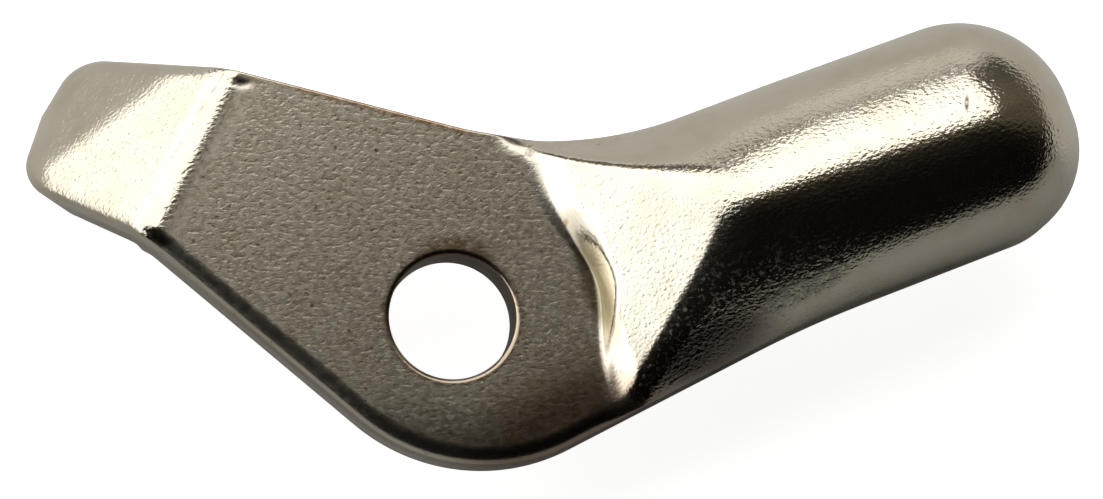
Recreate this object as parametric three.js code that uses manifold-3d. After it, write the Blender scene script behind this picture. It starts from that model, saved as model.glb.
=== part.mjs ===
// Horn lever of a boat cleat: one blank of steel sheet, pierced for a bolt, with a hollow horn drawn up
// on one side of the hole, a tab bent down at the end of the arm on the other, and nickel plating.
// Millimetres, +Z up. The shape is worked out with the bolt hole's axis at x = y = 0, the horn along +X
// and the seat's upper face at z = 0. The finished part then moves to the middle of its footprint.

import Module from 'manifold-3d';
import * as THREE from 'three';
import { mergeVertices } from 'three/addons/utils/BufferGeometryUtils.js';

// Sheet and bolt hole.
const SHEET = 2.5; // thickness of the blank
const OUTER_ROLL = 0.95; // die roll along the outer upper edge of the blank
const INNER_ROLL = 0.12; // along the edge in the hollow between arm and horn
const TAB_ROLL = 0.35; // and round the tab
const HOLE_R = 3.25; // clearance hole for an M6 bolt
const HOLE_LIP = 0.25; // rounding at the mouth of the hole
const SEAT_CROWN = 0.14; // the seat's round end falls away by this much at its edge
const SEAT_CROWN_WIDTH = 3.6;
const SEAT_CROWN_TOWARDS = new THREE.Vector2(0.35, -0.94); // from the hole to the middle of the round end

// Horn: a ramp rises from the toe line to a ridge, and the sides and end are one dome.
const TOE_X = 6.3;
const TOE_BOW = 1.35; // the toe line bows away from the hole by this much
const TOE_BOW_Y = -0.6;
const TOE_BOW_WIDTH = 3.4;
const TOE_WALL_SLOPE = [2.0, 1.0]; // of the short wall along the bow, at its lower and upper ends
const TOE_WALL_Y = [-0.5, 2.8];
const TOE_WALL_BLEND = 0.15;
const RAMP_SLOPE = Math.tan(THREE.MathUtils.degToRad(35.5));
const RIDGE_Z = 5.9; // ridge over the seat
const RIDGE_END_X = 28.4; // where the ridge stops and the rounded end begins
const HORN_END_X = 34.6;
const DOME_FOOT_Z = -0.9; // the side wall is upright below this height
const DOME_CREST = 1.8; // exponents of the superelliptic section: a low first one sharpens the ridge
const DOME_SIDE = 2.0;
const FLANK_FOOT_Z = 0.2; // foot and exponents next to the seat, where the flanks are nearly straight
const FLANK_CREST = 1.4;
const FLANK_SIDE = 1.03;
const FLANK_X = [10.5, 21.0]; // the straight flanks turn into the round dome between these
const FLANK_Y = [0, 1.5]; // only the outer flank takes its own foot and crest
const HORN_WALL = 2.0; // the drawn wall is thinner than the blank
const POCKET_LIFT = -1.6; // the pocket's foot against the dome's
const TOE_BLEND = 0.35; // height over which the ramp leaves the seat
const RIDGE_BLEND = 0.9; // height over which the ramp runs into the dome
const MERGE_X = [5.0, 8.0]; // the seat's rolled edge turns into the horn's side between these

// Arm and tab: the arm runs off at ARM_ANGLE from the horn, and the tab folds down across it.
const ARM_ANGLE = THREE.MathUtils.degToRad(135);
const FOLD_ANGLE = THREE.MathUtils.degToRad(40);
const FOLD_REACH = 15.3; // hole axis to fold line, along the arm
const FOLD_R = 2.5; // outer radius of the fold
const TAB_REACH = 23.85; // hole axis to the tab's end, in plan
const TAB_POLE_REACH = 21.3; // centre of the tab's rounded end
const ARM_OFFSET = 1.55; // the arm's middle lies this far to the side of the hole's axis
const TAB_BLEND = 3; // the tab's own bends come in over this distance from the fold
const CURL_DROP = 0.4; // the tab's rim is rolled down by this much
const CURL_WIDTH = 1.0;
const CORNER_BEYOND = 3.0; // a second, slanting bend crosses the tab's corner through this point,
const CORNER_ACROSS = 5.76; // given by its distance beyond the fold and across from the hole's axis,
const CORNER_ANGLE = THREE.MathUtils.degToRad(29.8); // and the corner bends down across this direction
const CORNER_SLOPE = 0.3;
const CORNER_BLEND = 0.5;

// Plan outline: straight sides joined by rounded corners, each [x, y, corner radius].
const OUTER_CORNERS = [
  [-18.2, 14.7, 2.3], // tab
  [-13.3, 8.25, 5], // where the tab's side meets the arm's
  [-2.85, -9.2, 10], // round of the seat below the hole
  [17.9, -6.05, 60], // slight bend half way along the horn
  [HORN_END_X, -5.3, 5.1], // horn end
];
const INNER_CORNERS = [
  [-13.0, 20.4, 2.0], // tab
  [-6.75, 15.95, 5], // where the tab's side meets the arm's
  [8.5, 6.1, 20], // hollow between arm and horn
  [HORN_END_X, 6.85, 6.0], // horn end
];
const SPINE_CORNERS = [[2.3, 0, 9]]; // where the arm's middle line meets the horn's

// Fineness of the mesh: steps between the key places along the part, and across it.
const STEPS_ALONG = [7, 6, 18, 38, 12];
const EASE_ALONG = [1, 1, 1, 1.5, 1]; // above 1, steps crowd towards the toe line
const STEPS_TOP = 16;
const STEPS_UNDER = 7;
const EASE_ACROSS = 1.8; // above 1, steps crowd towards the edge
const HOLE_SIDES = 56;
const LIP_STEPS = 5;
const BISECTIONS = 40;
const WELD = 1e-4; // points closer than this are one point

const armDirection = new THREE.Vector2(Math.cos(ARM_ANGLE), Math.sin(ARM_ANGLE));
const acrossDirection = new THREE.Vector2(Math.sin(ARM_ANGLE), -Math.cos(ARM_ANGLE));
const reach = (point) => point.dot(armDirection);
const { clamp, lerp, smoothstep } = THREE.MathUtils;

function smoothMin(a, b, blend) {
  const h = clamp(0.5 + (0.5 * (b - a)) / blend, 0, 1);
  return lerp(b, a, h) - blend * h * (1 - h);
}

function smoothMax(a, b, blend) {
  return -smoothMin(-a, -b, blend);
}

// A line through the corners, with each corner rounded by an arc that touches both sides.
function roundedPath(start, corners, end) {
  const stops = [start, ...corners.map(([x, y]) => new THREE.Vector2(x, y)), end];
  const path = new THREE.Path();
  path.moveTo(start.x, start.y);
  corners.forEach(([, , radius], i) => {
    const corner = stops[i + 1];
    const back = stops[i].clone().sub(corner).normalize();
    const ahead = stops[i + 2].clone().sub(corner).normalize();
    const half = back.angleTo(ahead) / 2;
    const toTangent = radius / Math.tan(half);
    const centre = back.clone().add(ahead).setLength(radius / Math.sin(half)).add(corner);
    const first = corner.clone().addScaledVector(back, toTangent);
    const last = corner.clone().addScaledVector(ahead, toTangent);
    const from = first.clone().sub(centre).angle();
    const to = last.clone().sub(centre).angle();
    path.lineTo(first.x, first.y);
    path.absarc(centre.x, centre.y, radius, from, to, back.cross(ahead) > 0);
  });
  path.lineTo(end.x, end.y);
  return path;
}

// How far along a path, from 0 to 1, a measure that only rises or only falls takes the value.
function shareWhere(path, measure, value) {
  const rising = measure(path.getPointAt(1)) > measure(path.getPointAt(0));
  let low = 0;
  let high = 1;
  for (let i = 0; i < BISECTIONS; i += 1) {
    const middle = (low + high) / 2;
    if (measure(path.getPointAt(middle)) < value === rising) low = middle;
    else high = middle;
  }
  return (low + high) / 2;
}

function armPoint(alongArm, acrossArm) {
  const point = armDirection.clone().multiplyScalar(alongArm);
  return point.addScaledVector(acrossDirection, acrossArm);
}

// Pairs of a point on the spine and a point on one edge, from the tab's end to the horn's end.
function halfLines(corners) {
  const ridgeEnd = new THREE.Vector2(RIDGE_END_X, 0);
  const hornEnd = new THREE.Vector2(HORN_END_X, 0);
  const spine = roundedPath(armPoint(TAB_POLE_REACH, ARM_OFFSET), SPINE_CORNERS, ridgeEnd);
  const edge = roundedPath(armPoint(TAB_REACH, ARM_OFFSET), corners, hornEnd);
  const atX = (point) => point.x;
  const onSpine = [0, 0, shareWhere(spine, reach, FOLD_REACH), shareWhere(spine, atX, TOE_X), 1, 1];
  const onEdge = [
    0,
    shareWhere(edge, reach, TAB_POLE_REACH),
    shareWhere(edge, reach, FOLD_REACH),
    shareWhere(edge, atX, TOE_X),
    shareWhere(edge, atX, RIDGE_END_X),
    1,
  ];
  const lines = [];
  STEPS_ALONG.forEach((steps, block) => {
    for (let i = block === 0 ? 0 : 1; i <= steps; i += 1) {
      const share = (i / steps) ** EASE_ALONG[block];
      const u = lerp(onEdge[block], onEdge[block + 1], share);
      const middle = spine.getPointAt(lerp(onSpine[block], onSpine[block + 1], share));
      const rim = edge.getPointAt(u);
      const tangent = edge.getTangentAt(u);
      const outward = new THREE.Vector2(tangent.y, -tangent.x);
      if (outward.dot(rim.clone().sub(middle)) < 0) outward.negate();
      lines.push({ middle, rim, outward });
    }
  });
  return lines;
}

// The upper face of the fold and of the flat tab beyond it, as a drop below the seat.
function foldTop(beyond) {
  if (beyond <= 0) return 0;
  if (beyond < FOLD_R * Math.sin(FOLD_ANGLE)) return Math.sqrt(FOLD_R ** 2 - beyond ** 2) - FOLD_R;
  return FOLD_R / Math.cos(FOLD_ANGLE) - FOLD_R - Math.tan(FOLD_ANGLE) * beyond;
}

// How far the tab's rim and its corner bend down out of the tab's plane.
function tabCurl(point, fromEdge) {
  const beyond = reach(point) - FOLD_REACH;
  const across = point.dot(acrossDirection);
  const rim = Math.max(0, 1 - fromEdge / CURL_WIDTH);
  const pastFold = Math.cos(CORNER_ANGLE) * (beyond - CORNER_BEYOND);
  const pastSide = Math.sin(CORNER_ANGLE) * (across - CORNER_ACROSS);
  const corner = CORNER_SLOPE * smoothMax(0, pastFold + pastSide, CORNER_BLEND);
  return (CURL_DROP * rim ** 2 + corner) * smoothstep(beyond, 0, TAB_BLEND);
}

// The horn's cross section, from its crest at share 0 to its foot at share 1.
function dome(point, share, lift, crest) {
  const straight = 1 - smoothstep(point.x, ...FLANK_X);
  const outer = straight * smoothstep(-point.y, ...FLANK_Y);
  const foot = lerp(DOME_FOOT_Z, FLANK_FOOT_Z, outer) + lift;
  const power = lerp(DOME_CREST, FLANK_CREST, outer);
  const root = lerp(DOME_SIDE, FLANK_SIDE, straight);
  return foot + (crest - foot) * Math.max(0, 1 - share ** power) ** (1 / root);
}

// The ramp starts at the toe line. Where that line bows, a short steeper wall makes up the height.
function rampTop(point) {
  const bow = TOE_BOW * Math.exp(-(((point.y - TOE_BOW_Y) / TOE_BOW_WIDTH) ** 2));
  const wallSlope = lerp(...TOE_WALL_SLOPE, smoothstep(point.y, ...TOE_WALL_Y));
  const wall = wallSlope * (point.x - TOE_X - bow);
  const ramp = smoothMin(RAMP_SLOPE * (point.x - TOE_X), wall, TOE_WALL_BLEND);
  return smoothMax(0, ramp, TOE_BLEND);
}

function seatTop(point, fromEdge, rollRadius) {
  const roll = rollRadius - Math.min(fromEdge, rollRadius);
  const roundEnd = smoothstep(point.dot(SEAT_CROWN_TOWARDS), 0, SEAT_CROWN_WIDTH);
  const crown = SEAT_CROWN * roundEnd * Math.max(0, 1 - fromEdge / SEAT_CROWN_WIDTH) ** 2;
  return Math.sqrt(rollRadius ** 2 - roll ** 2) - rollRadius - crown;
}

// Height of the upper surface. share is 0 on the spine and 1 on the edge.
function topHeight(point, share, fromEdge, rollRadius) {
  const seat = seatTop(point, fromEdge, rollRadius);
  const horn = smoothMin(dome(point, share, 0, RIDGE_Z), rampTop(point), RIDGE_BLEND);
  const height = lerp(seat, horn, smoothstep(point.x, ...MERGE_X));
  return height + foldTop(reach(point) - FOLD_REACH) - tabCurl(point, fromEdge);
}

// Height of the underside. share is 0 on the spine and 1 at the mouth of the horn's pocket.
function underHeight(point, share) {
  const pocket = share < 1 ? dome(point, share, POCKET_LIFT, RIDGE_Z - HORN_WALL) : -SHEET;
  const underRamp = RAMP_SLOPE * (point.x - TOE_X) - SHEET * Math.hypot(1, RAMP_SLOPE);
  const height = Math.max(-SHEET, smoothMin(pocket, underRamp, RIDGE_BLEND));
  const beyond = Math.max(0, reach(point) - FOLD_REACH);
  return height - Math.tan(FOLD_ANGLE) * beyond - tabCurl(point, CURL_WIDTH);
}

// One section of the skin, from the spine on top, round the edge, to the spine underneath.
function section({ middle, rim, outward }, sideRoll) {
  const onTab = smoothstep(reach(rim) - FOLD_REACH, 0, TAB_BLEND);
  const rollRadius = lerp(sideRoll, TAB_ROLL, onTab);
  const length = rim.distanceTo(middle);
  const facing = outward.dot(rim.clone().sub(middle)) / length;
  const skin = [];
  for (let i = 0; i <= STEPS_TOP; i += 1) {
    const inward = (1 - i / STEPS_TOP) ** EASE_ACROSS;
    const point = rim.clone().lerp(middle, inward);
    const fromEdge = inward * length * facing;
    skin.push([point.x, point.y, topHeight(point, 1 - inward, fromEdge, rollRadius)]);
  }
  // The sheared edge is square to the sheet, so beneath the tab it stands back along the arm.
  const foot = rim.clone().addScaledVector(armDirection, -SHEET * Math.sin(FOLD_ANGLE) * onTab);
  skin.push([foot.x, foot.y, underHeight(foot, 1)]);
  const mouth = middle.clone().lerp(rim, 1 - HORN_WALL / length);
  for (let i = 0; i <= STEPS_UNDER; i += 1) {
    const inward = (i / STEPS_UNDER) ** EASE_ACROSS;
    const point = mouth.clone().lerp(middle, inward);
    skin.push([point.x, point.y, underHeight(point, 1 - inward)]);
  }
  return skin;
}

// Joins the sections into one closed skin and drops the triangles that a shared point closes up.
function skinGeometry() {
  const outer = halfLines(OUTER_CORNERS).map((line) => section(line, OUTER_ROLL));
  const inner = halfLines(INNER_CORNERS).map((line) => section(line, INNER_ROLL));
  const sections = [...outer, ...inner.slice(1, -1).reverse()];
  const across = sections[0].length;
  const geometry = new THREE.BufferGeometry();
  geometry.setAttribute('position', new THREE.Float32BufferAttribute(sections.flat(2), 3));
  const index = [];
  sections.forEach((_, i) => {
    const here = i * across;
    const next = ((i + 1) % sections.length) * across;
    for (let j = 0; j < across - 1; j += 1) {
      index.push(here + j, here + j + 1, next + j + 1);
      index.push(here + j, next + j + 1, next + j);
    }
  });
  geometry.setIndex(index);
  return withoutSlivers(mergeVertices(geometry, WELD));
}

function withoutSlivers(geometry) {
  const index = Array.from(geometry.index.array);
  const kept = [];
  for (let i = 0; i < index.length; i += 3) {
    const [a, b, c] = index.slice(i, i + 3);
    if (a !== b && b !== c && c !== a) kept.push(a, b, c);
  }
  geometry.setIndex(kept);
  return geometry;
}

// A turned plug the shape of the bolt hole, whose upper end flares into the rounded mouth.
function holePlug() {
  const profile = [new THREE.Vector2(0, -2 * SHEET), new THREE.Vector2(HOLE_R, -2 * SHEET)];
  for (let i = 0; i <= LIP_STEPS; i += 1) {
    const turn = (i / LIP_STEPS) * (Math.PI / 2);
    const out = HOLE_R + HOLE_LIP * (1 - Math.cos(turn));
    profile.push(new THREE.Vector2(out, HOLE_LIP * (Math.sin(turn) - 1)));
  }
  profile.push(new THREE.Vector2(HOLE_R + HOLE_LIP, SHEET), new THREE.Vector2(0, SHEET));
  return new THREE.LatheGeometry(profile, HOLE_SIDES).rotateX(Math.PI / 2);
}

function toSolid(wasm, geometry) {
  const bare = geometry.clone();
  bare.deleteAttribute('normal');
  bare.deleteAttribute('uv');
  const closed = withoutSlivers(mergeVertices(bare, WELD));
  const vertProperties = closed.attributes.position.array;
  const triVerts = new Uint32Array(closed.index.array);
  return new wasm.Manifold(new wasm.Mesh({ numProp: 3, vertProperties, triVerts }));
}

function toGeometry(solid) {
  const { vertProperties, triVerts } = solid.getMesh();
  const geometry = new THREE.BufferGeometry();
  geometry.setAttribute('position', new THREE.BufferAttribute(vertProperties, 3));
  geometry.setIndex(new THREE.BufferAttribute(triVerts, 1));
  geometry.computeVertexNormals();
  return geometry;
}

const wasm = await Module();
wasm.setup();

const nickelPlate = new THREE.MeshStandardMaterial({ color: 0xa89d88, roughness: 0.28, metalness: 1 });
const lever = toSolid(wasm, skinGeometry()).subtract(toSolid(wasm, holePlug()));
const cleatHorn = new THREE.Mesh(toGeometry(lever), nickelPlate);
cleatHorn.name = 'cleat_horn';

// Origin at the middle of the footprint, on the surface that the part lies on.
const box = new THREE.Box3().setFromObject(cleatHorn);
const centre = box.getCenter(new THREE.Vector3());
cleatHorn.position.set(-centre.x, -centre.y, -box.min.z);

const assembly = new THREE.Group();
assembly.add(cleatHorn);

export default assembly;
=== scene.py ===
"""Looks of the cleat horn: one nickel-plated pressing of sheet steel on a pale studio floor."""

import math

import bmesh
import bpy
import numpy as np
from mathutils import Matrix, Vector
from mathutils.kdtree import KDTree


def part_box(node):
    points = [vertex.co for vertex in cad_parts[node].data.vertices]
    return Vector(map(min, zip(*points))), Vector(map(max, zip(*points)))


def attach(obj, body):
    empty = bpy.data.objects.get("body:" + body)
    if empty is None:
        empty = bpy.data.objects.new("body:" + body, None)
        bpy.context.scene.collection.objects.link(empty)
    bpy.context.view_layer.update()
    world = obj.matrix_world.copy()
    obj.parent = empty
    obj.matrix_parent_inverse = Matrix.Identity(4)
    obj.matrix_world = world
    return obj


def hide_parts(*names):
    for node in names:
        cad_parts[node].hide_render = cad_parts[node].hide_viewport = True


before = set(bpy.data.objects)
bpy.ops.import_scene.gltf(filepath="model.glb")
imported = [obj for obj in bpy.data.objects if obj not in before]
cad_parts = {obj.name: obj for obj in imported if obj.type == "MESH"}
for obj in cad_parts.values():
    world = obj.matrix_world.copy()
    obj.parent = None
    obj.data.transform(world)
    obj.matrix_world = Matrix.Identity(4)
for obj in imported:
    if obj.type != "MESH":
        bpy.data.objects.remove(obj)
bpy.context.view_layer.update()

# Driving dimensions in millimetres. The bolt hole's axis is at x = y = 0, the horn runs along +X and the
# seat's upper face is z = 0, until the finished mesh is moved into the CAD node's box.
MM = 0.001
NODE = "cleat_horn"
SHEET = 2.5
OUTER_ROLL = 0.95  # die roll along the outer edge of the blank
INNER_ROLL = 0.12  # and along the inner edge
TAB_ROLL = 0.35
TAB_BLEND = 3  # the tab's own bends come in over this distance from the fold
HOLE_R = 3.25
HOLE_LIP = 0.25
TOE_BOW = 1.35  # how far the toe line bows away from the hole
TOE_BOW_Y = -0.6
TOE_BOW_WIDTH = 3.4
TOE_WALL_SLOPE = (2.0, 1.0)  # of the short wall along the bow, at its lower and upper ends
TOE_WALL_Y = (-0.5, 2.8)
TOE_WALL_BLEND = 0.15
SEAT_CROWN = 0.14  # how far the seat's round end falls away at its edge
SEAT_CROWN_WIDTH = 3.6
SEAT_CROWN_TOWARDS = (0.35, -0.94)
SEAT_CROWN_BLEND = 6

TOE_X = 6.3
RAMP_SLOPE = math.tan(math.radians(35.5))
RIDGE_Z = 5.9
RIDGE_END_X = 28.4
HORN_END_X = 34.6
DOME_FOOT_Z = -0.9
DOME_CREST = 1.8
DOME_SIDE = 2.0
FLANK_FOOT_Z = 0.2  # the foot and the exponents next to the seat, where the flanks are nearly straight
FLANK_CREST = 1.4
FLANK_SIDE = 1.03
FLANK_X = (10.5, 21.0)
FLANK_Y = (0.0, 1.5)  # only the outer flank takes its own foot and crest
HORN_WALL = 2.0
POCKET_LIFT = -1.6  # the pocket's foot against the dome's
POCKET_MOUTH = 12  # how far the pocket's wall would drop over one more share beyond its mouth
POCKET_BLEND = 0.3
EDGE_SHARE = 1.4  # the outer edge, counted as well past the pocket's mouth
TOE_BLEND = 0.35
RIDGE_BLEND = 0.9
MERGE_X = (5.0, 8.0)

# Places where the forming dies pinched the skin: x, y, half length, half width, turn in degrees, depth.
PINCHES = [
    (-6.35, 14.95, 0.5, 0.22, -20, 0.03),
    (6.65, 6.8, 0.3, 0.25, 60, 0.04),
    (-12.75, 8.35, 0.8, 0.25, -50, 0.05),
    (7.9, -6.9, 0.7, 0.35, 25, 0.05),
    (27.9, 1.35, 0.14, 0.5, -25, 0.05),
]

ARM_ANGLE = math.radians(135)
FOLD_ANGLE = math.radians(40)
FOLD_REACH = 15.3
FOLD_R = 2.5
TAB_REACH = 23.85
TAB_POLE_REACH = 21.3
ARM_OFFSET = 1.55
CURL_DROP = 0.4
CURL_WIDTH = 1.0
CORNER_BEYOND = 3.0  # a line across the tab's corner, where the corner bends down further
CORNER_ACROSS = 5.76
CORNER_ANGLE = math.radians(29.8)
CORNER_SLOPE = 0.3
CORNER_BLEND = 0.5

# Corners of the blank's two sides and of its middle line: x, y, and the radius of the arc.
OUTER_CORNERS = [
    (-18.2, 14.7, 2.3),
    (-13.3, 8.25, 5),
    (-2.85, -9.2, 10),
    (17.9, -6.05, 60),
    (HORN_END_X, -5.3, 5.1),
]
INNER_CORNERS = [
    (-13.0, 20.4, 2.0),
    (-6.75, 15.95, 5),
    (8.5, 6.1, 20),
    (HORN_END_X, 6.85, 6.0),
]
SPINE_CORNERS = [(2.3, 0, 9)]

HORN_RISE = math.radians(19)  # the horn points this far above the picture's right

# Fineness of the mesh.
STEPS_ALONG = (36, 50, 120, 200, 50)
STEPS_TOP = 84
STEPS_WALL = 8
STEPS_RIM = 10
STEPS_POCKET = 40
HOLE_SIDES = 160
LIP_STEPS = 8
EDGE_SAMPLES = 1200
EASE_TOP = 1.6  # how closely the rings crowd towards the edge on top
EASE_POCKET = 1.8  # and towards the mouth underneath
BISECTIONS = 40
NO_LENGTH = 1e-12
WELD = 1e-4  # points closer than this become one
SLIVER = 1e-5

arm_direction = np.array([math.cos(ARM_ANGLE), math.sin(ARM_ANGLE)])
across_direction = np.array([math.sin(ARM_ANGLE), -math.cos(ARM_ANGLE)])


def smooth_min(a, b, blend):
    h = np.clip(0.5 + 0.5 * (b - a) / blend, 0, 1)
    return b + (a - b) * h - blend * h * (1 - h)


def smooth_max(a, b, blend):
    return -smooth_min(-a, -b, blend)


def smooth_step(x, low, high):
    t = np.clip((x - low) / (high - low), 0, 1)
    return t * t * (3 - 2 * t)


def mix(a, b, share):
    return a + (b - a) * share


class RoundedPath:
    """A line through corners, each rounded by an arc that touches both sides."""

    def __init__(self, start, corners, end):
        stops = [np.array(p[:2], float) for p in (start, *corners, end)]
        self.pieces = []
        here = stops[0]
        for i, (_, _, radius) in enumerate(corners, 1):
            back = stops[i - 1] - stops[i]
            ahead = stops[i + 1] - stops[i]
            back /= np.linalg.norm(back)
            ahead /= np.linalg.norm(ahead)
            half = math.acos(float(np.clip(back @ ahead, -1, 1))) / 2
            to_tangent = radius / math.tan(half)
            middle = (back + ahead) / np.linalg.norm(back + ahead)
            centre = stops[i] + middle * radius / math.sin(half)
            first = stops[i] + back * to_tangent
            last = stops[i] + ahead * to_tangent
            self.add_line(here, first)
            self.add_arc(centre, radius, first, last)
            here = last
        self.add_line(here, stops[-1])
        self.ends = np.cumsum([0] + [length for _, length in self.pieces])

    def add_line(self, a, b):
        length = np.linalg.norm(b - a)
        along = (b - a) / max(length, NO_LENGTH)

        def at(share):
            return a + share[:, None] * (b - a), np.repeat(along[None], len(share), 0)

        self.pieces.append((at, length))

    def add_arc(self, centre, radius, first, last):
        from_angle = math.atan2(*(first - centre)[::-1])
        to_angle = math.atan2(*(last - centre)[::-1])
        sweep = (to_angle - from_angle + math.pi) % (2 * math.pi) - math.pi

        def at(share):
            angle = from_angle + share * sweep
            out = np.stack([np.cos(angle), np.sin(angle)], 1)
            turned = np.stack([-out[:, 1], out[:, 0]], 1)
            return centre + radius * out, math.copysign(1, sweep) * turned

        self.pieces.append((at, abs(sweep) * radius))

    def at(self, share):
        """Points and tangents at shares of the whole length."""
        far = np.clip(np.asarray(share, float), 0, 1) * self.ends[-1]
        which = np.clip(np.searchsorted(self.ends, far, side="right") - 1, 0, len(self.pieces) - 1)
        points = np.zeros((len(far), 2))
        tangents = np.zeros((len(far), 2))
        for i, (piece, length) in enumerate(self.pieces):
            here = which == i
            if here.any():
                points[here], tangents[here] = piece((far[here] - self.ends[i]) / max(length, NO_LENGTH))
        return points, tangents

    def share_where(self, measure, value):
        """Where a measure that only rises or only falls along the path takes a value."""

        def found(share):
            return measure(self.at([share])[0])[0]

        rising = found(1) > found(0)
        low, high = 0.0, 1.0
        for _ in range(BISECTIONS):
            middle = (low + high) / 2
            if (found(middle) < value) == rising:
                low = middle
            else:
                high = middle
        return (low + high) / 2


def reach(points):
    return points[:, :2] @ arm_direction


def arm_point(along, across):
    return arm_direction * along + across_direction * across


def half_lines(corners):
    """Spine points, edge points and outward directions, from the tab's end to the horn's end."""
    spine = RoundedPath(arm_point(TAB_POLE_REACH, ARM_OFFSET), SPINE_CORNERS, (RIDGE_END_X, 0))
    edge = RoundedPath(arm_point(TAB_REACH, ARM_OFFSET), corners, (HORN_END_X, 0))

    def at_x(points):
        return points[:, 0]

    on_spine = [0, 0, spine.share_where(reach, FOLD_REACH), spine.share_where(at_x, TOE_X), 1, 1]
    on_edge = [
        0,
        edge.share_where(reach, TAB_POLE_REACH),
        edge.share_where(reach, FOLD_REACH),
        edge.share_where(at_x, TOE_X),
        edge.share_where(at_x, RIDGE_END_X),
        1,
    ]
    spine_shares, edge_shares = [np.zeros(1)], [np.zeros(1)]
    for block, steps in enumerate(STEPS_ALONG):
        share = np.arange(1, steps + 1) / steps
        spine_shares.append(mix(on_spine[block], on_spine[block + 1], share))
        edge_shares.append(mix(on_edge[block], on_edge[block + 1], share))
    middle, _ = spine.at(np.concatenate(spine_shares))
    rim, tangent = edge.at(np.concatenate(edge_shares))
    outward = np.stack([tangent[:, 1], -tangent[:, 0]], 1)
    outward *= np.sign(np.sum(outward * (rim - middle), 1))[:, None]
    return middle, rim, outward


def fold_top(beyond):
    """The upper face of the fold and of the tab beyond it, as a drop below the seat."""
    arc_end = FOLD_R * math.sin(FOLD_ANGLE)
    on_arc = np.sqrt(FOLD_R**2 - np.clip(beyond, 0, arc_end) ** 2) - FOLD_R
    on_tab = FOLD_R / math.cos(FOLD_ANGLE) - FOLD_R - math.tan(FOLD_ANGLE) * beyond
    return np.where(beyond < arc_end, on_arc, on_tab)


def tab_curl(points, from_edge):
    """How far the tab's rim and its corner bend down out of the tab's plane."""
    beyond = reach(points) - FOLD_REACH
    rim = np.maximum(0, 1 - from_edge / CURL_WIDTH)
    past_line = math.cos(CORNER_ANGLE) * (beyond - CORNER_BEYOND)
    past_line += math.sin(CORNER_ANGLE) * (points @ across_direction - CORNER_ACROSS)
    corner = CORNER_SLOPE * smooth_max(0, past_line, CORNER_BLEND)
    return (CURL_DROP * rim**2 + corner) * smooth_step(beyond, 0, TAB_BLEND)


def dome(points, share, lift, crest):
    """The horn's cross section, from its crest at share 0 to its foot at share 1."""
    straight = 1 - smooth_step(points[:, 0], *FLANK_X)
    outer = straight * smooth_step(-points[:, 1], *FLANK_Y)
    foot = mix(DOME_FOOT_Z, FLANK_FOOT_Z, outer) + lift
    power = mix(DOME_CREST, FLANK_CREST, outer)
    root = mix(DOME_SIDE, FLANK_SIDE, straight)
    return foot + (crest - foot) * np.maximum(0, 1 - share**power) ** (1 / root)


def pinch_depth(points):
    depth = np.zeros(len(points))
    for x, y, half_length, half_width, turn, deepest in PINCHES:
        along = np.array([math.cos(math.radians(turn)), math.sin(math.radians(turn))])
        away = points - np.array([x, y])
        lengthwise = away @ along / half_length
        crosswise = away @ np.array([-along[1], along[0]]) / half_width
        depth += deepest * np.exp(-(lengthwise**2) - crosswise**2)
    return depth


def top_height(points, share, from_edge, roll_radius):
    """Height of the upper surface. share is 0 on the spine and 1 on the edge."""
    roll = roll_radius - np.minimum(from_edge, roll_radius)
    seat = np.sqrt(roll_radius**2 - roll**2) - roll_radius
    round_end = smooth_step(points @ np.array(SEAT_CROWN_TOWARDS), 0, SEAT_CROWN_BLEND)
    seat -= SEAT_CROWN * round_end * np.maximum(0, 1 - from_edge / SEAT_CROWN_WIDTH) ** 2
    ramp = RAMP_SLOPE * (points[:, 0] - TOE_X)
    toe = TOE_X + TOE_BOW * np.exp(-(((points[:, 1] - TOE_BOW_Y) / TOE_BOW_WIDTH) ** 2))
    wall = mix(*TOE_WALL_SLOPE, smooth_step(points[:, 1], *TOE_WALL_Y)) * (points[:, 0] - toe)
    ramp = smooth_max(0, smooth_min(ramp, wall, TOE_WALL_BLEND), TOE_BLEND)
    horn = smooth_min(dome(points, share, 0, RIDGE_Z), ramp, RIDGE_BLEND)
    height = mix(seat, horn, smooth_step(points[:, 0], *MERGE_X))
    height += fold_top(reach(points) - FOLD_REACH) - tab_curl(points, from_edge)
    return height - pinch_depth(points)


def under_height(points, share):
    """Height of the underside. share is 0 on the spine and 1 at the mouth of the horn's pocket."""
    pocket = dome(points, np.minimum(share, 1), POCKET_LIFT, RIDGE_Z - HORN_WALL)
    pocket -= POCKET_MOUTH * np.maximum(0, share - 1)
    under_ramp = RAMP_SLOPE * (points[:, 0] - TOE_X) - SHEET * math.hypot(1, RAMP_SLOPE)
    height = smooth_max(smooth_min(pocket, under_ramp, RIDGE_BLEND), -SHEET, POCKET_BLEND)
    beyond = np.maximum(0, reach(points) - FOLD_REACH)
    return height - math.tan(FOLD_ANGLE) * beyond - tab_curl(points, np.full(len(points), CURL_WIDTH))


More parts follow.
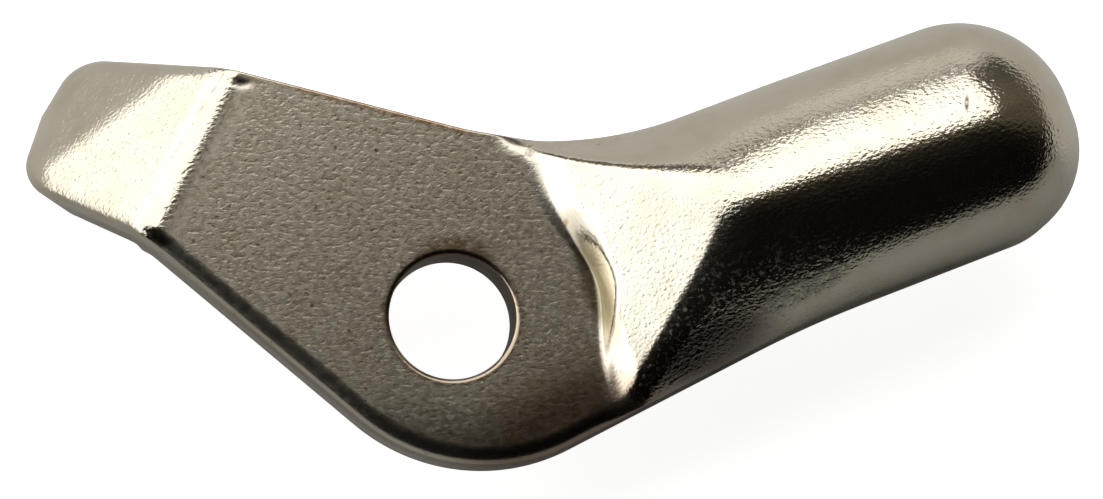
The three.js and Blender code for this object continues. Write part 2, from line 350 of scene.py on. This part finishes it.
def sections(corners, side_roll):
    """Sections of the skin, from the spine on top, round the edge, to the spine underneath."""
    middle, rim, outward = half_lines(corners)
    length = np.linalg.norm(rim - middle, axis=1)
    facing = np.sum(outward * (rim - middle), 1) / length
    on_tab = smooth_step(reach(rim) - FOLD_REACH, 0, TAB_BLEND)
    roll_radius = mix(side_roll, TAB_ROLL, on_tab)
    rings = []
    for step in range(STEPS_TOP + 1):
        inward = (1 - step / STEPS_TOP) ** EASE_TOP
        points = mix(rim, middle, inward)
        height = top_height(points, np.full(len(rim), 1 - inward), inward * length * facing, roll_radius)
        rings.append(np.column_stack([points, height]))
    # The sheared edge is square to the sheet, so beneath the tab it stands back along the arm.
    foot = rim - arm_direction * (SHEET * math.sin(FOLD_ANGLE) * on_tab)[:, None]
    foot = np.column_stack([foot, under_height(foot, np.full(len(foot), EDGE_SHARE))])
    top = rings[-1]
    for step in range(1, STEPS_WALL + 1):
        rings.append(mix(top, foot, step / STEPS_WALL))
    mouth = mix(middle, rim, (1 - HORN_WALL / length)[:, None])
    for step in range(1, STEPS_RIM + 1):
        points = mix(foot[:, :2], mouth, step / STEPS_RIM)
        outside = np.linalg.norm(points - middle, axis=1) / np.linalg.norm(mouth - middle, axis=1)
        rings.append(np.column_stack([points, under_height(points, outside)]))
    for step in range(1, STEPS_POCKET + 1):
        inward = (step / STEPS_POCKET) ** EASE_POCKET
        points = mix(mouth, middle, inward)
        rings.append(np.column_stack([points, under_height(points, np.full(len(rim), 1 - inward))]))
    return np.stack(rings, 1)


def new_mesh(name, vertices, faces):
    mesh = bpy.data.meshes.new(name)
    mesh.from_pydata(vertices, [], faces)
    mesh.update()
    return mesh


def new_object(name, data):
    made = bpy.data.objects.new(name, data)
    bpy.context.scene.collection.objects.link(made)
    return made


def skin_object():
    outer = sections(OUTER_CORNERS, OUTER_ROLL)
    inner = sections(INNER_CORNERS, INNER_ROLL)
    # The two sides share their first and last sections, where the roll radii meet half way.
    for end in (0, -1):
        outer[end] = inner[end] = (outer[end] + inner[end]) / 2
    grid = np.concatenate([outer, inner[1:-1][::-1]])
    count, across = grid.shape[:2]
    here = np.arange(count)[:, None] * across + np.arange(across - 1)[None]
    ahead = (np.arange(count)[:, None] + 1) % count * across + np.arange(across - 1)[None]
    faces = np.stack([here, here + 1, ahead + 1, ahead], -1).reshape(-1, 4)
    mesh = new_mesh("skin", grid.reshape(-1, 3).tolist(), faces.tolist())
    work = bmesh.new()
    work.from_mesh(mesh)
    bmesh.ops.remove_doubles(work, verts=work.verts, dist=WELD)
    bmesh.ops.dissolve_degenerate(work, edges=work.edges, dist=SLIVER)
    bmesh.ops.recalc_face_normals(work, faces=work.faces)
    work.to_mesh(mesh)
    work.free()
    return new_object("skin", mesh)


def hole_plug():
    """A plug the shape of the bolt hole, flared at its upper end for the hole's rounded mouth."""
    profile = [(HOLE_R, -2 * SHEET)]
    for i in range(LIP_STEPS + 1):
        turn = i / LIP_STEPS * math.pi / 2
        profile.append((HOLE_R + HOLE_LIP * (1 - math.cos(turn)), HOLE_LIP * (math.sin(turn) - 1)))
    profile.append((HOLE_R + HOLE_LIP, SHEET))
    angles = np.arange(HOLE_SIDES) / HOLE_SIDES * 2 * math.pi
    vertices = []
    for radius, height in profile:
        vertices += [(radius * math.cos(a), radius * math.sin(a), height) for a in angles]
    faces = []
    for ring in range(len(profile) - 1):
        for i in range(HOLE_SIDES):
            j = (i + 1) % HOLE_SIDES
            low, high = ring * HOLE_SIDES, (ring + 1) * HOLE_SIDES
            faces.append((low + i, low + j, high + j, high + i))
    faces.append(tuple(reversed(range(HOLE_SIDES))))
    faces.append(tuple((len(profile) - 1) * HOLE_SIDES + i for i in range(HOLE_SIDES)))
    return new_object("plug", new_mesh("plug", vertices, faces))


def lever_object():
    skin = skin_object()
    plug = hole_plug()
    cut = skin.modifiers.new("hole", "BOOLEAN")
    cut.operation = "DIFFERENCE"
    cut.solver = "EXACT"
    cut.object = plug
    graph = bpy.context.evaluated_depsgraph_get()
    mesh = bpy.data.meshes.new_from_object(skin.evaluated_get(graph))
    bpy.data.objects.remove(skin)
    bpy.data.objects.remove(plug)
    mesh.shade_smooth()
    return new_object("plated_lever", mesh)


def place_in_box(made):
    """Moves the mesh from its building place, in millimetres, into the CAD node's box, in metres."""
    points = np.zeros(len(made.data.vertices) * 3, np.float32)
    made.data.vertices.foreach_get("co", points)
    points = points.reshape(-1, 3).astype(float)
    low, high = points.min(0), points.max(0)
    node_low, node_high = (np.array(corner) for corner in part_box(NODE))
    scale = (node_high - node_low) / (high - low)

    def to_row(place):
        return node_low + (place - low) * scale

    made.data.vertices.foreach_set("co", to_row(points).astype(np.float32).ravel())
    made.data.update()
    return points, Vector(to_row(np.zeros(3)))


lever = lever_object()
building_points, hole_place = place_in_box(lever)


# Where the masks begin and end: parts of a normal, and distances in millimetres.
LEVEL_NORMAL = (0.2, 0.55)
FACET_NORMAL = (0.35, 0.5)
FOLD_MARGIN = 0.4
PAST_TOE = (-0.3, 1.0)
ABOVE_SEAT = (0.1, 0.8)
BELOW_CREST = (1.0, 3.5)
FLANK_ENDS = (14, 26)
CREST_LINE = 1.6
CREST_LINE_WIDTH = 0.9
GRAIN_ENDS = (1.6, 0.2)  # the seat's dimples fade out this far before the fold
# How coarse the orange peel is: everywhere, less on the facet, more on the flank and beside the crest.
PEEL_SHARES = {"plain": 0.5, "facet": 0.28, "flank": 0.5, "crest": 0.8}


def add_mask(made, name, values):
    """A number at each vertex, which the material reads."""
    attribute = made.data.attributes.new(name, "FLOAT", "POINT")
    attribute.data.foreach_set("value", np.clip(values, 0, 1).astype(np.float32))


def vertex_normals(made):
    normals = np.zeros(len(made.data.vertices) * 3, np.float32)
    made.data.vertices.foreach_get("normal", normals)
    return normals.reshape(-1, 3).astype(float)


def add_masks(made, points):
    normals = vertex_normals(made)
    level = smooth_step(normals[:, 2], *LEVEL_NORMAL)
    on_tab = smooth_step(reach(points) - FOLD_REACH, -FOLD_MARGIN, FOLD_MARGIN)
    on_horn = smooth_step(points[:, 0] - TOE_X, *PAST_TOE) * smooth_step(points[:, 2], *ABOVE_SEAT)
    add_mask(made, "stretched", np.maximum(on_tab, on_horn) * level)
    add_mask(made, "wall", 1 - level)
    facet = smooth_step(-normals[:, 0], *FACET_NORMAL) * on_horn
    off_facet = on_horn * (1 - facet)
    flank = smooth_step(-points[:, 1], *BELOW_CREST) * off_facet
    flank *= 1 - smooth_step(points[:, 0], *FLANK_ENDS)
    by_crest = off_facet * np.exp(-(((np.abs(points[:, 1]) - CREST_LINE) / CREST_LINE_WIDTH) ** 2))
    coarse = PEEL_SHARES["flank"] * np.maximum(flank, PEEL_SHARES["crest"] * by_crest)
    add_mask(made, "coarse_peel", PEEL_SHARES["plain"] - PEEL_SHARES["facet"] * facet + coarse)
    add_mask(made, "flank", flank)
    grain_from, grain_to = GRAIN_ENDS
    grained = 1 - smooth_step(reach(points), FOLD_REACH - grain_from, FOLD_REACH - grain_to)
    add_mask(made, "grained_seat", grained)
    add_mask(made, "from_inner_edge", distance_from_inner_edge(points))


def distance_from_inner_edge(points):
    path = RoundedPath(arm_point(TAB_REACH, ARM_OFFSET), INNER_CORNERS, (HORN_END_X, 0))
    rim, _ = path.at(np.linspace(0, 1, EDGE_SAMPLES))
    inner_edge = KDTree(EDGE_SAMPLES)
    for i, (x, y) in enumerate(rim):
        inner_edge.insert((x, y, 0), i)
    inner_edge.balance()
    return np.array([inner_edge.find((x, y, 0))[2] for x, y, _ in points])


MIX_COLOUR_SOCKETS = (0, 6, 7)  # a colour mix node's factor and its two colours
MIX_NUMBER_SOCKETS = (0, 2, 3)  # a number mix node's factor and its two numbers
SPOT_DEPTH = 100  # a spot's half size across the plan, so that height doesn't end it
SPOT_CORE = 0.35  # the inner part of a spot, where it is full


class Nodes:
    """Short words for building a node tree."""

    def __init__(self, tree):
        self.tree = tree

    def add(self, kind, inputs=None, **settings):
        made = self.tree.nodes.new(kind)
        for name, value in settings.items():
            setattr(made, name, value)
        for name, value in (inputs or {}).items():
            if isinstance(value, bpy.types.NodeSocket):
                self.tree.links.new(value, made.inputs[name])
            else:
                made.inputs[name].default_value = value
        return made

    def math(self, operation, *values):
        return self.add("ShaderNodeMath", dict(enumerate(values)), operation=operation).outputs[0]

    def product(self, first, *others):
        for other in others:
            first = self.math("MULTIPLY", first, other)
        return first

    def dot(self, a, b):
        return self.add("ShaderNodeVectorMath", {0: a, 1: b}, operation="DOT_PRODUCT").outputs["Value"]

    def length(self, vector):
        return self.add("ShaderNodeVectorMath", {0: vector}, operation="LENGTH").outputs["Value"]

    def from_hole(self):
        """Where a point is, in metres from the bolt hole's mouth."""
        place = self.add("ShaderNodeTexCoord").outputs["Object"]
        return self.add("ShaderNodeVectorMath", {0: place, 1: hole_place}, operation="SUBTRACT").outputs[0]

    def mask(self, name):
        return self.add("ShaderNodeAttribute", attribute_name=name).outputs["Fac"]

    def steps(self, value, low, high, to_low=0.0, to_high=1.0, smooth=True):
        settings = {"Value": value, "From Min": low, "From Max": high, "To Min": to_low, "To Max": to_high}
        kind = "SMOOTHSTEP" if smooth else "LINEAR"
        return self.add("ShaderNodeMapRange", settings, interpolation_type=kind).outputs["Result"]

    def between(self, share, least, most):
        """least where the share is 0 and most where it is 1."""
        return self.steps(share, 0.0, 1.0, least, most, smooth=False)

    def noise(self, place, scale, detail, roughness):
        settings = {"Vector": place, "Scale": scale, "Detail": detail, "Roughness": roughness}
        return self.add("ShaderNodeTexNoise", settings).outputs["Fac"]

    def patches(self, place, scale, detail, roughness, low, high, to_low=0.0, to_high=1.0):
        """Noise turned into patches: one value below its band and another above it."""
        return self.steps(self.noise(place, scale, detail, roughness), low, high, to_low, to_high)

    def stretched_place(self, place, turn, scale, kind="POINT"):
        """A place whose noise is drawn out in one direction of the plan."""
        settings = {"Vector": place, "Rotation": (0, 0, turn), "Scale": (scale, 1, 1)}
        return self.add("ShaderNodeMapping", settings, vector_type=kind).outputs[0]

    def spot(self, place, centre, half_sizes, turn):
        """1 in the middle of an ellipse in plan, falling to 0 at its edge."""
        settings = {
            "Vector": place,
            "Location": (*centre, 0),
            "Rotation": (0, 0, math.radians(turn)),
            "Scale": (*half_sizes, SPOT_DEPTH),
        }
        local = self.add("ShaderNodeMapping", settings, vector_type="TEXTURE").outputs[0]
        return self.steps(self.length(local), 1.0, SPOT_CORE)

    def marked(self, colour, place, mark, *shares):
        """A colour with a mark's pigment over it. Further shares thin the pigment."""
        pigment, strength, centre, half_sizes, turn = mark
        cover = self.product(self.spot(place, centre, half_sizes, turn), *shares, strength)
        return self.mixed(cover, colour, pigment)

    def mixed(self, factor, a, b):
        """The first colour where the factor is 0 and the second where it is 1."""
        inputs = dict(zip(MIX_COLOUR_SOCKETS, (factor, a, b)))
        return self.add("ShaderNodeMix", inputs, data_type="RGBA", clamp_factor=True).outputs[2]


NICKEL = (0.70, 0.65, 0.545, 1)
NICKEL_AGED = (0.65, 0.59, 0.47, 1)
TARNISH = (0.24, 0.15, 0.085, 1)
RUST = (0.42, 0.24, 0.11, 1)
DARK_OLIVE = (0.19, 0.16, 0.09, 1)
# painted shade: the brown that darkens the seat towards its lower side
SEAT_SHADE_TINT = (0.26, 0.18, 0.13, 1)
# dark dirt in the pinches and the fold mark, and also the pigment of the painted shade on the lower flank
# and on the sheared edge
DIRT_AND_SHADE = (0.07, 0.05, 0.045, 1)

# Noises: scale per millimetre, detail, roughness.
PEEL = (5.6, 1.0, 0.5)
GRAIN = (13.0, 1.0, 0.5)
SCRATCHES = (5.0, 3.0, 0.7)
# Patches: the same, and then the band of the noise in which they come in.
AGED_PATCHES = (0.45, 4.0, 0.6, 0.4, 0.7)
BLOTCHES = (2.2, 3.0, 0.6, 0.3, 0.62)
PITS = (2.6, 1.0, 0.5, 0.66, 0.76)
FOLD_MARK_BREAKS = (3.1, 2.0, 0.5, 0.45, 0.6)
DIMPLES = (4.6, 1.0, 0.5, 0.25, 0.52)
# Patches of roughness: the same, and then what they add outside and inside.
FINE_WEAR = (3.0, 2.0, 0.6, 0.3, 0.7, -0.03, 0.03)
FLECKS = (4.5, 2.0, 0.6, 0.5, 0.64, 0.0, 0.24)

# Marks: pigment, strength, centre and half sizes in millimetres, turn in degrees.
ABOVE_HOLE = (TARNISH, 0.85, (1.35, 3.1), (2.9, 1.15), -19)
INNER_EDGE = (RUST, 1.0, (0.2, 11.0), (8.5, 7.0), -50)
RUST_SPECK = (RUST, 0.7, (7.1, 2.7), (0.32, 0.22), 60)
# A dark olive band along the toe, where the ramp rises from the seat.
DARK_TOE_BAND = (DARK_OLIVE, 0.85, (7.5, -0.9), (0.85, 4.6), 0)
# Painted shade: the seat darkened towards its lower side, standing in for the dark it mirrors there.
PAINTED_SEAT_SHADE = (SEAT_SHADE_TINT, 0.8, (3.2, -8.6), (8.8, 6.0), 20)
# Painted shade: a dark patch on the lower flank near the toe, standing in for the dark that a steeper
# flank would mirror there.
PAINTED_FLANK_SHADE = (DIRT_AND_SHADE, 0.85, (11.8, -6.0), (5.4, 1.8), 6)
# Painted shade on the upper part of the sheared edge along the seat.
PAINTED_EDGE_SHADE = (DIRT_AND_SHADE, 0.4, (-3.5, -1.5), (16, 13), -45)
SCORED_FLANK = ((17.3, -4.75), (3.4, 0.75), 5)  # without a pigment
# How much of a mark the blotches leave, at least and at most.
TARNISH_SHARES = (0.4, 1.0)
INNER_EDGE_SHARES = (0.35, 1.0)
PINCH_SHARES = (0.15, 0.95)
PINCH_LENGTH, PINCH_WIDTH = 1.1, 1.3  # the dirt in a pinch against the pinch itself
INNER_EDGE_BAND = (0.5, 0.12)  # from the edge, in millimetres
INNER_EDGE_ON_WALL = (0.4, 1.0, 0.8, 0.25)
PIT_STRENGTH = 0.55
RING_STRENGTH = 0.6  # the tarnished ring round the hole
RING_BAND = (HOLE_R + 0.55, HOLE_R + 0.2)
# heights where the painted shade on the sheared edge comes in, in millimetres
EDGE_SHADE_Z = (-1.45, -1.15)
ON_WALL = (0.2, 0.7)  # bands of the masks
OFF_WALL = (0.3, 0.0)
OFF_STRETCH = (0.3, 0.0)

# A faint broken line inside the fold, where the die's edge stood: a straight line in plan.
FOLD_MARK_TURN = ARM_ANGLE - math.radians(5)
FOLD_MARK_NORMAL = (math.cos(FOLD_MARK_TURN), math.sin(FOLD_MARK_TURN), 0)
FOLD_MARK_REACH = 16.5
FOLD_MARK_BAND = (0.1, 0.02)
FOLD_MARK_STRENGTH = 0.35

ROUGHNESS_SEAT = 0.22
ROUGHNESS_STRETCHED = 0.14
ROUGHNESS_SCORED = 0.05
PEEL_HEIGHT = 0.018 * MM
PEEL_GAIN = 2.2
PEEL_STRETCH = 0.75
DIMPLE_HEIGHT = 0.0032 * MM
DIMPLE_STRETCH = 1.4
DIMPLE_SHARE = 0.7
GRAIN_SHARE = 0.45
WALL_RELIEF_LOSS = 0.85  # the sheared edge is smoother than the faces
SCRATCH_TURN = -0.09
SCRATCH_STRETCH = 0.14
SCRATCH_GAIN = 7.0


def plate_colour(nodes, mm, blotches):
    """Warm nickel, browner in patches, with the marks of use and of the dies over it in turn, and painted
    shade on the seat's lower side, on the lower flank and on the sheared edge's upper part.
    """
    stretched = nodes.mask("stretched")
    wall = nodes.mask("wall")
    colour = nodes.mixed(nodes.patches(mm, *AGED_PATCHES), NICKEL, NICKEL_AGED)
    colour = nodes.marked(colour, mm, ABOVE_HOLE, nodes.between(blotches, *TARNISH_SHARES))
    along_edge = nodes.product(
        nodes.steps(nodes.mask("from_inner_edge"), *INNER_EDGE_BAND),
        nodes.between(blotches, *INNER_EDGE_SHARES),
        nodes.steps(wall, *INNER_EDGE_ON_WALL),
    )
    colour = nodes.marked(colour, mm, INNER_EDGE, along_edge)
    colour = nodes.marked(colour, mm, RUST_SPECK)
    for x, y, half_length, half_width, turn, _ in PINCHES:
        dirty = (DIRT_AND_SHADE, 1.0, (x, y), (PINCH_LENGTH * half_length, PINCH_WIDTH * half_width), turn)
        colour = nodes.marked(colour, mm, dirty, nodes.between(blotches, *PINCH_SHARES))
    pits = nodes.product(nodes.patches(mm, *PITS), nodes.steps(stretched, *OFF_STRETCH), PIT_STRENGTH)
    colour = nodes.mixed(pits, colour, TARNISH)
    colour = nodes.marked(colour, mm, DARK_TOE_BAND)
    in_plan = nodes.add("ShaderNodeMapping", {"Vector": mm, "Scale": (1, 1, 0)}).outputs[0]
    ring = nodes.product(nodes.steps(nodes.length(in_plan), *RING_BAND), RING_STRENGTH)
    colour = nodes.mixed(ring, colour, TARNISH)
    # Painted shade on the seat's lower side.
    colour = nodes.marked(colour, mm, PAINTED_SEAT_SHADE)
    # Painted shade: a dark patch on the lower flank.
    colour = nodes.marked(colour, mm, PAINTED_FLANK_SHADE)
    # The sheared edge is painted dark above, as painted shade for the dark it would mirror, and left paler
    # below, where it is torn.
    z = nodes.add("ShaderNodeSeparateXYZ", {"Vector": mm}).outputs["Z"]
    edge_shade = nodes.product(nodes.steps(z, *EDGE_SHADE_Z), nodes.steps(wall, *ON_WALL))
    colour = nodes.marked(colour, mm, PAINTED_EDGE_SHADE, edge_shade)
    return nodes.mixed(fold_mark(nodes, mm, wall), colour, DIRT_AND_SHADE)


def fold_mark(nodes, mm, wall):
    from_line = nodes.math("SUBTRACT", nodes.dot(mm, FOLD_MARK_NORMAL), FOLD_MARK_REACH)
    line = nodes.steps(nodes.math("ABSOLUTE", from_line), *FOLD_MARK_BAND)
    breaks = nodes.patches(mm, *FOLD_MARK_BREAKS)
    return nodes.product(line, breaks, nodes.steps(wall, *OFF_WALL), FOLD_MARK_STRENGTH)


def plate_roughness(nodes, mm, scored):
    """The stretched skin is brighter than the matt seat, and the dies have scored the lower flank."""
    skin = nodes.steps(nodes.mask("stretched"), 0.0, 1.0, ROUGHNESS_SEAT, ROUGHNESS_STRETCHED)
    rough = nodes.math("ADD", skin, nodes.patches(mm, *FINE_WEAR))
    rough = nodes.math("ADD", rough, nodes.product(scored, ROUGHNESS_SCORED))
    return nodes.math("ADD", rough, nodes.product(nodes.patches(mm, *FLECKS), nodes.mask("flank")))


def plate_relief(nodes, mm, scored):
    """Orange peel where the sheet is stretched, fine dimples on the seat, and scratches on the flank."""
    peel = nodes.noise(nodes.stretched_place(mm, HORN_RISE, PEEL_STRETCH), *PEEL)
    peel = nodes.product(peel, nodes.product(nodes.mask("coarse_peel"), PEEL_GAIN))
    dimples = nodes.patches(nodes.stretched_place(mm, -HORN_RISE, DIMPLE_STRETCH, "TEXTURE"), *DIMPLES)
    grain = nodes.noise(mm, *GRAIN)
    seat = nodes.math("ADD", nodes.product(dimples, DIMPLE_SHARE), nodes.product(grain, GRAIN_SHARE))
    seat = nodes.product(seat, nodes.mask("grained_seat"), DIMPLE_HEIGHT / PEEL_HEIGHT)
    inputs = dict(zip(MIX_NUMBER_SOCKETS, (nodes.mask("stretched"), seat, peel)))
    height = nodes.add("ShaderNodeMix", inputs, data_type="FLOAT").outputs[0]
    kept = nodes.math("SUBTRACT", 1.0, nodes.product(nodes.mask("wall"), WALL_RELIEF_LOSS))
    height = nodes.product(height, kept)
    scratches = nodes.noise(nodes.stretched_place(mm, SCRATCH_TURN, SCRATCH_STRETCH), *SCRATCHES)
    height = nodes.math("ADD", height, nodes.product(scratches, scored, SCRATCH_GAIN))
    bump = {"Height": height, "Strength": 1.0, "Distance": PEEL_HEIGHT}
    return nodes.add("ShaderNodeBump", bump).outputs["Normal"]


def nickel_plate():
    material = bpy.data.materials.new("nickel_plate")
    material.use_nodes = True
    nodes = Nodes(material.node_tree)
    inputs = material.node_tree.nodes["Principled BSDF"].inputs
    inputs["Metallic"].default_value = 1.0
    in_mm = {0: nodes.from_hole(), "Scale": 1 / MM}
    mm = nodes.add("ShaderNodeVectorMath", in_mm, operation="SCALE").outputs[0]
    blotches = nodes.patches(mm, *BLOTCHES)
    scored = nodes.product(nodes.spot(mm, *SCORED_FLANK), blotches)
    links = material.node_tree.links
    links.new(plate_colour(nodes, mm, blotches), inputs["Base Color"])
    links.new(plate_roughness(nodes, mm, scored), inputs["Roughness"])
    links.new(plate_relief(nodes, mm, scored), inputs["Normal"])
    return material


add_masks(lever, building_points)
lever.data.materials.clear()
lever.data.materials.append(nickel_plate())
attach(lever, "root")
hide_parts(NODE)


# The view: how far the seat leans away from the camera, as a share of a height's shift in the picture.
LEAN_RIGHT, LEAN_UP = 0.130, 0.188
DISTANCE = 0.280
PICTURE_WIDTH = 0.0565  # width that the picture covers at the seat
HOLE_FROM_MIDDLE = (-5.068 * MM, -3.4072 * MM)  # right and up of the picture's middle
SENSOR_WIDTH = 36  # of the camera, in millimetres
CLIP_START = 0.01


def photo_axes():
    right = Vector((math.cos(HORN_RISE), -math.sin(HORN_RISE), 0))
    up = Vector((math.sin(HORN_RISE), math.cos(HORN_RISE), 0))
    normal = Vector((0, 0, 1))
    back = -LEAN_RIGHT * right - LEAN_UP * up
    back += math.sqrt(1 - LEAN_RIGHT**2 - LEAN_UP**2) * normal
    turn = normal.rotation_difference(back)
    return turn @ right, turn @ up, back


def add_camera():
    right, up, back = photo_axes()
    data = bpy.data.cameras.new("camera")
    data.sensor_width = SENSOR_WIDTH
    data.lens = SENSOR_WIDTH * DISTANCE / PICTURE_WIDTH
    data.clip_start = CLIP_START
    camera = new_object("camera", data)
    beside, above = HOLE_FROM_MIDDLE
    place = hole_place + back * DISTANCE - right * beside - up * above
    facing = Matrix((right, up, back)).transposed().to_4x4()
    camera.matrix_world = Matrix.Translation(place) @ facing
    bpy.context.scene.camera = camera


add_camera()


def studio_direction(right, up, height):
    """A direction in the studio from its parts along the picture's level axes and upwards."""
    x = right * math.cos(HORN_RISE) + up * math.sin(HORN_RISE)
    y = -right * math.sin(HORN_RISE) + up * math.cos(HORN_RISE)
    return Vector((x, y, height)).normalized()


FLOOR_HALF = 3.0
# Painted light on the floor: the paper's shade on the picture's lower side, darker there for shade, and on
# its upper side, lighter there for more light, and the band where it changes.
FLOOR_PAINTED_LIGHT = ((0.50, 0.495, 0.485, 1), (0.86, 0.855, 0.84, 1))
FLOOR_BAND = (2 * MM, 14 * MM)
FLOOR_GLOW = 0.90
BACKDROP = (1.0, 1.0, 1.0, 1)
# The dome's brightness and tint, from the picture's lower side to its upper side.
DOME_STEPS = [
    (-0.35, (0.006, 0.006, 0.005)),
    (0.10, (0.022, 0.019, 0.014)),
    (0.25, (0.115, 0.100, 0.070)),
    (0.60, (0.26, 0.24, 0.19)),
    (0.92, (0.10, 0.09, 0.08)),
    (0.98, (0.72, 0.71, 0.68)),
]
DOME_RIGHT_SHADE = 0.5  # how much of it is left on the picture's right
DOME_RIGHT_BAND = (0.0, 0.7)
AREA_LIGHT_POWER = 4  # watts for a radiance of 1 from an area light of one square metre
KEY_HEIGHT = 0.6
KEY_CENTRE = (-1.322, 0.248)  # right and up of the hole, in picture axes
KEY_SIZE = (3.25, 1.20)
KEY_TURN = math.radians(24)
KEY_RADIANCE = 1.28
SIDE_AZIMUTH = math.radians(170)  # from the picture's right, turning towards its upper side
SIDE_ELEVATION = math.radians(14.6)
SIDE_DISTANCE = 1.2
SIDE_SIZE = (2.3, 0.62)
SIDE_RADIANCE = 1.2


def floor_object():
    half = FLOOR_HALF
    corners = [(-half, -half, 0), (half, -half, 0), (half, half, 0), (-half, half, 0)]
    made = new_object("floor", new_mesh("floor", corners, [(0, 1, 2, 3)]))
    material = bpy.data.materials.new("pale_floor")
    material.use_nodes = True
    tree = material.node_tree
    nodes = Nodes(tree)
    tree.nodes.remove(tree.nodes["Principled BSDF"])
    up = nodes.dot(nodes.from_hole(), studio_direction(0, 1, 0))
    # Painted light: the paper is darker towards the picture's lower side and lighter towards its upper
    # side.
    shade = nodes.mixed(nodes.steps(up, *FLOOR_BAND), *FLOOR_PAINTED_LIGHT)
    paper = nodes.add("ShaderNodeBsdfDiffuse", {"Color": shade})
    seen = nodes.add("ShaderNodeLightPath").outputs["Is Camera Ray"]
    glow = {"Color": BACKDROP, "Strength": nodes.product(seen, FLOOR_GLOW)}
    glow = nodes.add("ShaderNodeEmission", glow)
    both = nodes.add("ShaderNodeAddShader")
    tree.links.new(paper.outputs[0], both.inputs[0])
    tree.links.new(glow.outputs[0], both.inputs[1])
    tree.links.new(both.outputs[0], tree.nodes["Material Output"].inputs["Surface"])
    made.data.materials.append(material)
    return made


def add_world():
    world = bpy.data.worlds.new("studio")
    bpy.context.scene.world = world
    world.use_nodes = True
    tree = world.node_tree
    nodes = Nodes(tree)
    direction = nodes.add("ShaderNodeTexCoord").outputs["Generated"]
    height = nodes.dot(direction, studio_direction(0, 1, 0))
    ramp = nodes.add("ShaderNodeValToRGB", {"Fac": nodes.steps(height, -1, 1, smooth=False)})
    elements = ramp.color_ramp.elements
    while len(elements) < len(DOME_STEPS):
        elements.new(1)
    for element, (up, colour) in zip(elements, DOME_STEPS):
        element.position = (up + 1) / 2
        element.color = (*colour, 1)
    seen = nodes.add("ShaderNodeLightPath").outputs["Is Camera Ray"]
    side = nodes.dot(direction, studio_direction(1, 0, 0))
    shaded = nodes.steps(side, *DOME_RIGHT_BAND, 1.0, DOME_RIGHT_SHADE)
    background = tree.nodes["Background"].inputs
    tree.links.new(nodes.mixed(seen, ramp.outputs["Color"], BACKDROP), background["Color"])
    tree.links.new(nodes.math("MAXIMUM", seen, shaded), background["Strength"])


def add_softbox(name, size, radiance):
    data = bpy.data.lights.new(name, "AREA")
    data.shape = "RECTANGLE"
    data.size, data.size_y = size
    data.energy = AREA_LIGHT_POWER * radiance * size[0] * size[1]
    return new_object(name, data)


def add_key():
    """A broad soft light overhead, out over the tab's side."""
    light = add_softbox("key", KEY_SIZE, KEY_RADIANCE)
    right, up = studio_direction(1, 0, 0), studio_direction(0, 1, 0)
    beside, above = KEY_CENTRE
    light.location = hole_place + right * beside + up * above + Vector((0, 0, KEY_HEIGHT))
    light.rotation_euler = (0, 0, KEY_TURN - HORN_RISE)


def add_side():
    """A second one, low on the tab's side, that the tab's face mirrors."""
    light = add_softbox("side", SIDE_SIZE, SIDE_RADIANCE)
    right = math.cos(SIDE_ELEVATION) * math.cos(SIDE_AZIMUTH)
    up = math.cos(SIDE_ELEVATION) * math.sin(SIDE_AZIMUTH)
    towards = studio_direction(right, up, math.sin(SIDE_ELEVATION))
    light.location = hole_place + towards * SIDE_DISTANCE
    light.rotation_mode = "QUATERNION"
    light.rotation_quaternion = towards.to_track_quat("Z", "Y")


add_world()
add_key()
add_side()
floor_object()

bpy.context.scene.view_settings.view_transform = "Standard"
